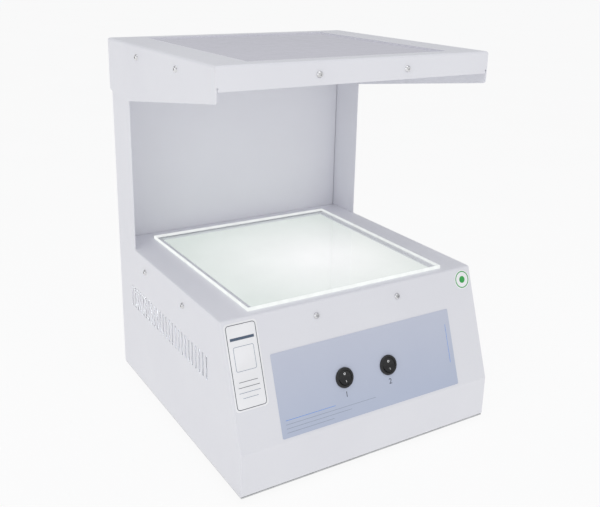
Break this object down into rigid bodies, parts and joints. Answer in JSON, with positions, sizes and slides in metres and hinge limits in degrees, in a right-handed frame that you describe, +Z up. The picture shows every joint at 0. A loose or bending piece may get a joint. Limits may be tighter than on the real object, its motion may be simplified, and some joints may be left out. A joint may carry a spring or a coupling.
{
  "type": "polariscope",
  "caption": "Bench polariscope: sheet-metal cabinet with a lit test plate, sloped switch panel, column and an overhanging analyser hood.",
  "frame": {"origin": "on the bench, below the middle of the instrument's overall width and depth, with the feet standing on z = 0", "axes": "+Z up; -Y towards the user, the way the sloped control face looks; +X to the user's right"},
  "size_m": [0.348, 0.354, 0.4505],
  "materials": {
    "white_powder_coat": "semi-gloss powder coat with a light orange peel",
    "zinc_plated_sheet": "dull zinc plate",
    "bright_steel": "polished steel",
    "analyser_sheet": "grey-lavender polarising sheet",
    "polariser_sheet": "grey polarising sheet",
    "opal_diffuser": "opal white",
    "clear_plate": "clear with polished edges",
    "fascia_label": "printed blue-grey film, matt",
    "side_sticker": "white vinyl",
    "round_sticker": "white vinyl with a green ring",
    "black_switch_plastic": "black nylon, satin",
    "black_inlet_plastic": "black moulded plastic",
    "nickel_contacts": "nickel-plated brass",
    "black_rubber": "matt",
    "white_enamel": "white reflector enamel",
    "clear_glass": "clear",
    "phosphor_glass": "white phosphor-coated glass",
    "lamp_brass": "bare brass",
    "lamp_holder_plastic": "white thermoset",
    "ballast_steel": "black varnished laminations",
    "winding": "taped copper winding",
    "gear_case": "white-grey stove enamel",
    "capacitor_can": "drawn aluminium can",
    "terminal_nylon": "natural nylon"
  },
  "bodies": {
    "cabinet": {"left_side_panel": "white_powder_coat", "right_side_panel": "white_powder_coat", "front_deck_panel": "white_powder_coat", "rear_panel": "white_powder_coat", "hood_cover": "white_powder_coat", "analyser_frame": "white_powder_coat", "sheet_frame": "white_powder_coat", "bottom_plate": "zinc_plated_sheet", "analyser_sheet": "analyser_sheet", "polariser_sheet": "polariser_sheet", "diffuser_plate": "opal_diffuser", "test_plate": "clear_plate", "fascia_label": "fascia_label", "side_sticker": "side_sticker", "round_sticker": "round_sticker", "front_left_foot": "black_rubber", "front_right_foot": "black_rubber", "rear_left_foot": "black_rubber", "rear_right_foot": "black_rubber", "left_switch_body": "black_switch_plastic", "left_switch_terminals": "nickel_contacts", "right_switch_body": "black_switch_plastic", "right_switch_terminals": "nickel_contacts", "mains_inlet": "black_inlet_plastic", "mains_inlet_pins": "nickel_contacts", "mains_inlet_screws": "bright_steel", "mains_inlet_nuts": "zinc_plated_sheet", "lamp_tray": "white_enamel", "sodium_lamp_jacket": "clear_glass", "sodium_lamp_arc_tube": "clear_glass", "sodium_lamp_cap": "lamp_brass", "sodium_lamp_holder": "lamp_holder_plastic", "sodium_lamp_clip": "bright_steel", "cfl_tubes": "phosphor_glass", "cfl_base": "lamp_holder_plastic", "cfl_holder": "lamp_holder_plastic", "cfl_clip": "bright_steel", "sodium_ballast_core": "ballast_steel", "sodium_ballast_coil": "winding", "cfl_ballast": "gear_case", "ignitor": "gear_case", "capacitor": "capacitor_can", "capacitor_clamp": "zinc_plated_sheet", "terminal_block": "terminal_nylon", "base_studs": "zinc_plated_sheet", "base_nuts": "zinc_plated_sheet", "sheet_frame_screws": "bright_steel", "sheet_frame_nuts": "zinc_plated_sheet", "hood_screws": "bright_steel", "hood_nuts": "zinc_plated_sheet", "foot_screws": "bright_steel", "foot_nuts": "zinc_plated_sheet", "bottom_plate_screws": "bright_steel"},
    "left_rocker": {"left_switch_rocker": "black_switch_plastic"},
    "right_rocker": {"right_switch_rocker": "black_switch_plastic"},
    "fuse_drawer": {"fuse_drawer": "black_inlet_plastic", "fuse": "clear_glass"}
  },
  "joints": [
    {"name": "left_rocker_tilt", "type": "hinge", "parent": "cabinet", "child": "left_rocker", "pos_m": [-0.0325, -0.16105, 0.10488], "axis": [1, 0, 0], "range_deg": [0, 21]},
    {"name": "right_rocker_tilt", "type": "hinge", "parent": "cabinet", "child": "right_rocker", "pos_m": [0.028, -0.16105, 0.10488], "axis": [1, 0, 0], "range_deg": [0, 21]},
    {"name": "fuse_drawer_slide", "type": "slide", "parent": "cabinet", "child": "fuse_drawer", "axis": [0, 1, 0], "range_m": [0, 0.018]}
  ]
}
